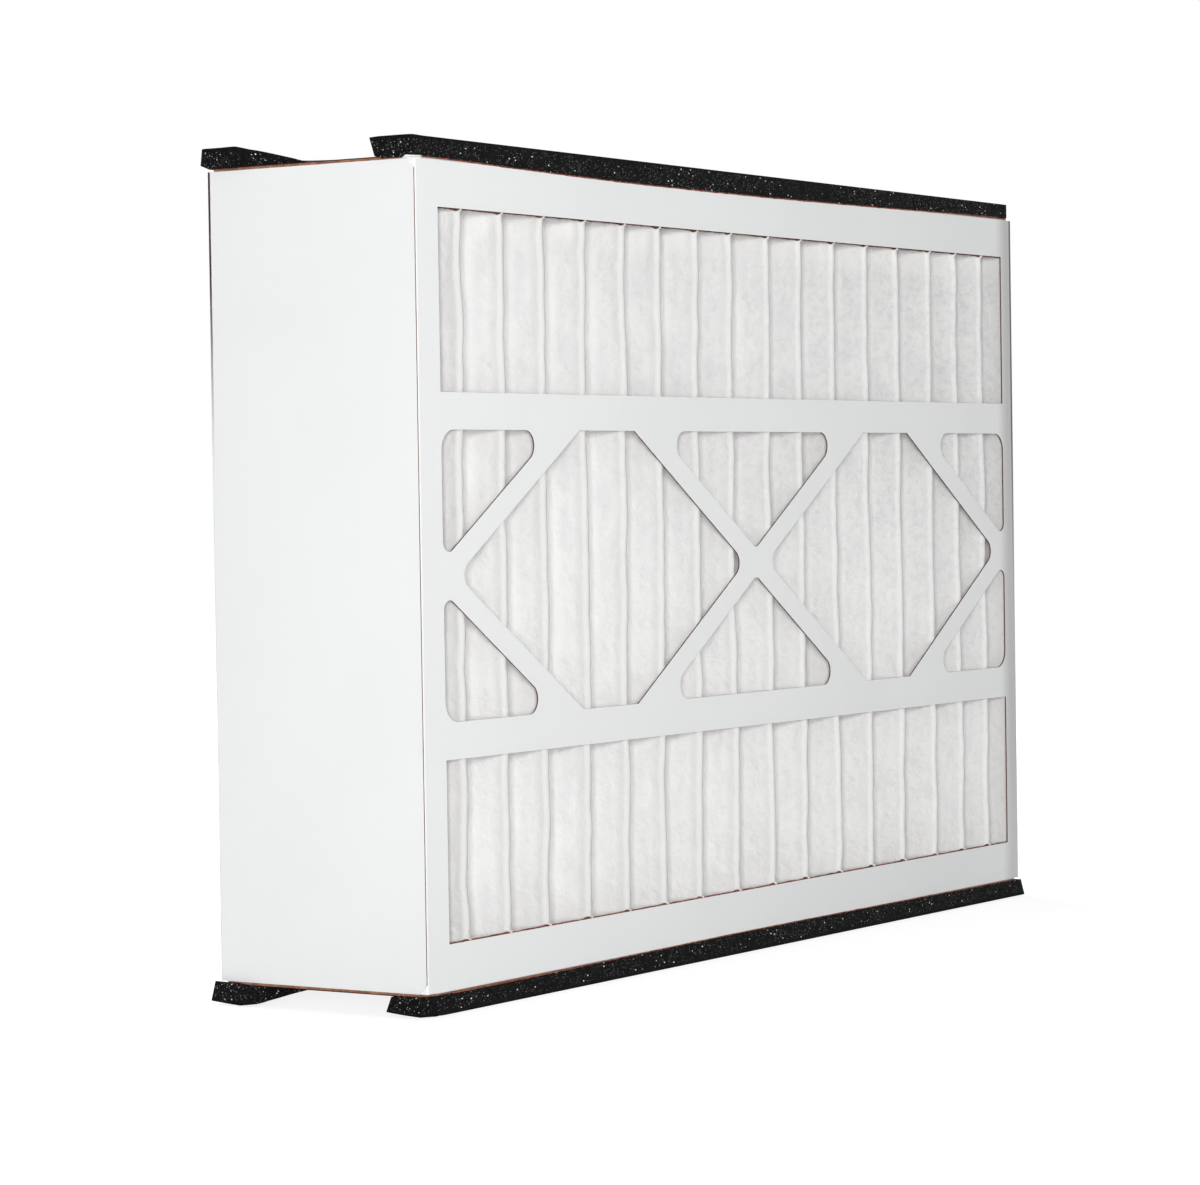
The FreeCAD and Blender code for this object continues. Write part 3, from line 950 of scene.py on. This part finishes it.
# How far each front strip's outer edge hangs over the face, from the left end
FOAM_LIPS = {
    "foam_top_front": (
        (0, 0.3), (33, 0.7), (54, 1.1), (75, 1.5), (96, 1.8), (140, 2.4), (187, 2.9),
        (259, 3.0), (310, 2.85), (363, 2.55), (419, 2.0), (477, 1.5), (537, 0.6), (580, 0.2),
        (PAST_STRIP, 0.2),
    ),
    "foam_bottom_front": (
        (0, 0.2), (43, 0.0), (86, 0.1), (153, 0.7), (200, 1.1), (274, 1.5), (326, 1.55),
        (409, 1.3), (467, 1.1), (540, 0.7), (PAST_STRIP, 0.3),
    ),
}
EVEN_LIP = ((0, 0.3), (PAST_STRIP, 0.3))


def along_table(table, place):
    """The table's row at this place, drawn straight between its rows."""
    for before, after in zip(table, table[1:]):
        if place <= after[0]:
            share = max(0.0, (place - before[0]) / (after[0] - before[0]))
            return [a + (b - a) * share for a, b in zip(before[1:], after[1:])]
    return list(table[-1][1:])


def fade(place, reach):
    """1 at the end and 0 from the reach on, straight between them."""
    return max(0.0, 1 - place / reach)


def foam_strip(name, up, back):
    """A strip of foam tape, glued to a long side of the frame.

    up and back are +1 or -1 and say which strip it is. The free side is made first,
    then the strip is given its thickness, its hand-cut left end and its dips."""
    bpy.ops.mesh.primitive_grid_add(
        x_subdivisions=len(FOAM_X) - 1, y_subdivisions=len(FOAM_ROWS) - 1, size=1.0
    )
    strip = name_piece(name)
    pick(strip)
    bpy.ops.object.mode_set(mode="EDIT")
    bpy.ops.mesh.select_all(action="SELECT")
    bpy.ops.mesh.extrude_region_move(TRANSFORM_OT_translate={"value": (0, 0, 1)})
    bpy.ops.object.mode_set(mode="OBJECT")
    face_outwards(strip)

    glued_z = TOP if up > 0 else BOTTOM
    for vertex in strip.data.vertices:
        column = round((vertex.co.x + 0.5) * (len(FOAM_X) - 1))
        row = round((vertex.co.y + 0.5) * (len(FOAM_ROWS) - 1))
        free = vertex.co.z > 0.5
        ends = FOAM_ENDS[name]
        out, glued_y, free_y, end_hang, end_thin = ends[min(row, len(ends) - 1)]
        end_y = free_y if free else glued_y
        if row == len(ends) - 1:
            end_y -= FOAM_CORNER_STEP
        x = FOAM_X[column]
        inward = x + HALF_X
        x -= out * fade(inward, OUT_REACH)
        x += FOAM_RIGHT[name][1 if free else 0] * fade(HALF_X - x, RIGHT_REACH)
        undercut = 0.0 if free else FOAM_UNDERCUT * (1 - FOAM_ROWS[row])
        y = FOAM_INNER + undercut
        y += (HALF_Y + FOAM_OVER - y) * FOAM_ROWS[row]
        y += (end_y - y) * fade(inward, SLANT_REACH)
        hang = 0.0
        if row == len(FOAM_ROWS) - 1:
            hang = along_table(FOAM_LIPS.get(name, EVEN_LIP), inward)[0]
        hang += (end_hang - hang) * fade(inward, HANG_REACH)
        inner_dip, outer_dip = along_table(FOAM_DIPS[name], inward)
        dip = inner_dip + (outer_dip - inner_dip) * FOAM_ROWS[row]
        dip += (end_thin - dip) * fade(inward, THIN_REACH)
        z = glued_z + up * (FOAM_THICK - dip if free else -hang)
        vertex.co = Vector((x, back * y, z)) * MM
    apply_modifier(
        strip, "BEVEL", width=FOAM_BEVEL * MM, segments=1, limit_method="ANGLE",
        angle_limit=math.radians(50), use_clamp_overlap=True,
    )
    face_outwards(strip)
    bpy.ops.object.shade_smooth_by_angle(angle=math.radians(30))
    dress(strip, FOAM)
    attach(strip, "root")
    return strip


for name, up, back in (
    ("foam_top_front", 1, -1),
    ("foam_top_back", 1, 1),
    ("foam_bottom_front", -1, -1),
    ("foam_bottom_back", -1, 1),
):
    strip = foam_strip(name, up, back)
    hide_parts(name.replace("foam", "gasket"))


# ---------------------------------------------------------------- window edges

BURR_STEPS = 620
BURR_X = WINDOW_X - 0.4
RAW_EDGE_X = 286.0
PLY_THICK = 0.12
TUFT_INSET = 1.5
TUFT_SHAPE = (1.0, 0.45, 1.2)


def ridge_places(side, z):
    """Where the ridges of one face stand at this height."""
    first = 0 if side < 0 else 1
    return [
        FIRST_RIDGE + FOLD_RUN * fold + fold_shift(fold, z) for fold in range(first, FOLDS, 2)
    ]


def window_burr(name, side, edge_z, inward):
    """The torn brown ply that stands into a wide window along its outer long edge.

    side is -1 for the front face, +1 for the back. inward is the way into the window.
    The ply stands out most right before a ridge and is pressed away on the ridge."""
    bpy.ops.mesh.primitive_grid_add(x_subdivisions=BURR_STEPS, y_subdivisions=1, size=1.0)
    burr = name_piece(name)
    ridges = ridge_places(side, edge_z)
    seed = 40.0 * side + edge_z
    for vertex in burr.data.vertices:
        x = vertex.co.x * 2 * BURR_X
        before_ridge = min((ridge - x for ridge in ridges if ridge - x > -4.0), default=99.0)
        reach = 0.62 + 0.30 * wave(x / 9.0, seed) + 0.18 * wave(x / 2.2, seed, 5.0)
        reach += 0.55 * math.exp(-((before_ridge - 4.0) / 2.2) ** 2)
        reach *= smoothstep(0.2, 1.8, abs(before_ridge))
        z = edge_z + inward * (max(0.05, reach) if vertex.co.y > 0 else -0.3)
        y = side * (HALF_Y - 0.55 - 0.10 * wave(x / 12.0, seed, 9.0))
        vertex.co = Vector((x, y, z)) * MM
    apply_modifier(burr, "SOLIDIFY", thickness=PLY_THICK * MM, offset=0.0)
    face_outwards(burr)
    dress(burr, TORN_PLY)
    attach(burr, "root")


def raw_edge(name, strip, edge_z, inward):
    """The face's raw brown edge, where it shows along a front strip's hanging edge."""
    bpy.ops.mesh.primitive_grid_add(x_subdivisions=BURR_STEPS, y_subdivisions=1, size=1.0)
    ply = name_piece(name)
    for vertex in ply.data.vertices:
        x = vertex.co.x * 2 * RAW_EDGE_X
        lip = along_table(FOAM_LIPS[strip], x + HALF_X)[0]
        reach = 0.36 + 0.14 * wave(x / 6.0, edge_z) + 0.10 * wave(x / 1.7, edge_z, 5.0)
        z = edge_z + inward * (lip + (reach if vertex.co.y > 0 else -0.6))
        vertex.co = Vector((x, -HALF_Y - 0.08, z)) * MM
    apply_modifier(ply, "SOLIDIFY", thickness=PLY_THICK * MM, offset=0.0)
    face_outwards(ply)
    dress(ply, TORN_PLY)
    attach(ply, "root")


def fuzz_tufts(name, side):
    """Small tufts of media that catch on the window edges at every ridge."""
    tufts = []
    for edge_z, inward in ((MIDDLE_Z + WIDE_HIGH, -1), (MIDDLE_Z - WIDE_HIGH, 1)):
        for index, ridge in enumerate(ridge_places(side, edge_z)):
            if abs(ridge) > WINDOW_X - TUFT_INSET:
                continue
            size = 0.85 + 0.35 * wave(index * 1.7, edge_z, side)
            place = Vector((ridge + 0.3, side * (HALF_Y - 0.75), edge_z + inward * 0.2))
            bpy.ops.mesh.primitive_ico_sphere_add(
                subdivisions=2, radius=size * MM, location=place * MM
            )
            tuft = bpy.context.active_object
            for vertex in tuft.data.vertices:
                x, y, z = vertex.co
                lump = 1 + 0.45 * wave(x * 900, z * 900, index + edge_z)
                vertex.co = Vector((x, y, z)) * Vector(TUFT_SHAPE) * lump
            tufts.append(tuft)
    deselect_all()
    for tuft in tufts:
        tuft.select_set(True)
    bpy.context.view_layer.objects.active = tufts[0]
    bpy.ops.object.join()
    fuzz = name_piece(name)
    apply_place(fuzz)
    bpy.ops.object.shade_smooth()
    dress(fuzz, NONWOVEN)
    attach(fuzz, "root")


for face_name, side in (("front", -1), ("back", 1)):
    window_burr(f"{face_name}_upper_window_burr", side, MIDDLE_Z + WIDE_HIGH, -1)
    window_burr(f"{face_name}_lower_window_burr", side, MIDDLE_Z - WIDE_HIGH, 1)
    fuzz_tufts(f"{face_name}_window_fuzz", side)
raw_edge("upper_raw_edge", "foam_top_front", TOP, -1)
raw_edge("lower_raw_edge", "foam_bottom_front", BOTTOM, 1)


# ---------------------------------------------------------------- floor and light


FLOOR_SIZE = 14.0
FLOOR_Z = -0.0003
WORLD_FILL = 0.29
LAMP_TINT = (1.0, 1.0, 0.99)

# Each lamp's name, place, aim, size and power
LAMPS = (
    ("key_lamp", (-2.07, -1.36, 0.33), (-0.1, 0.0, 0.22), 0.5, 41.5),
    ("front_lamp", (-0.15, -1.35, 0.40), (-0.1, 0.0, 0.22), 0.5, 2.6),
    ("back_lamp", (1.10, 2.40, 0.90), (0.0, 0.0, 0.2), 0.9, 60.0),
    ("top_lamp", (0.2, 0.5, 2.30), (0.1, 0.2, 0.2), 1.0, 26.0),
)


def seen_directly(shader):
    """1 for what the camera sees, straight on, in a gloss or through glass."""
    path = shader.add("ShaderNodeLightPath").outputs
    seen = shader.math("MAXIMUM", path["Is Camera Ray"], path["Is Glossy Ray"])
    return shader.math("MAXIMUM", seen, path["Is Transmission Ray"])


def lay_floor():
    """A white floor that keeps a faint shadow."""
    bpy.ops.mesh.primitive_plane_add(size=FLOOR_SIZE, location=(0, 0, FLOOR_Z))
    floor = name_piece("floor")
    apply_place(floor)
    material = bpy.data.materials.new("white_floor")
    material.use_nodes = True
    material.node_tree.nodes.clear()
    shader = Shader(material.node_tree)
    output = shader.add("ShaderNodeOutputMaterial")
    seen = seen_directly(shader)
    matt_tone = shader.mix(seen, (0.43, 0.43, 0.43, 1), (0.30, 0.30, 0.30, 1))
    matt = shader.add("ShaderNodeBsdfDiffuse", {"Color": matt_tone})
    place = shader.add("ShaderNodeTexCoord").outputs["Object"]
    reach = shader.add("ShaderNodeVectorMath", {0: place}, operation="LENGTH").outputs["Value"]
    glow = shader.math("MULTIPLY", seen, shader.between(reach, 0.6, 2.2, 0.84, 0.99))
    bright = shader.add("ShaderNodeEmission", {"Color": (1, 1, 1, 1), "Strength": glow})
    both = shader.add("ShaderNodeAddShader", {0: matt.outputs[0], 1: bright.outputs[0]})
    shader.link(both.outputs[0], output.inputs["Surface"])
    dress(floor, material)


def light_world():
    """White where the camera looks past the object, and a soft fill elsewhere."""
    world = bpy.data.worlds.new("studio")
    bpy.context.scene.world = world
    world.use_nodes = True
    world.node_tree.nodes.clear()
    shader = Shader(world.node_tree)
    output = shader.add("ShaderNodeOutputWorld")
    seen = seen_directly(shader)
    fill = shader.add("ShaderNodeBackground", {"Color": (1, 1, 1, 1), "Strength": WORLD_FILL})
    white = shader.add("ShaderNodeBackground", {"Color": (1, 1, 1, 1), "Strength": 1.0})
    mixed = shader.add("ShaderNodeMixShader", {0: seen, 1: fill.outputs[0], 2: white.outputs[0]})
    shader.link(mixed.outputs[0], output.inputs["Surface"])


def hang_lamp(name, place, aim, size, power):
    """A square soft lamp at a place, turned to its aim."""
    bpy.ops.object.light_add(type="AREA", location=place)
    lamp = bpy.context.active_object
    lamp.name = name
    lamp.rotation_euler = (Vector(aim) - Vector(place)).to_track_quat("-Z", "Y").to_euler()
    lamp.data.shape = "SQUARE"
    lamp.data.size = size
    lamp.data.energy = power
    lamp.data.color = LAMP_TINT


lay_floor()
light_world()
for lamp_row in LAMPS:
    hang_lamp(*lamp_row)

bpy.context.scene.view_settings.view_transform = "Standard"
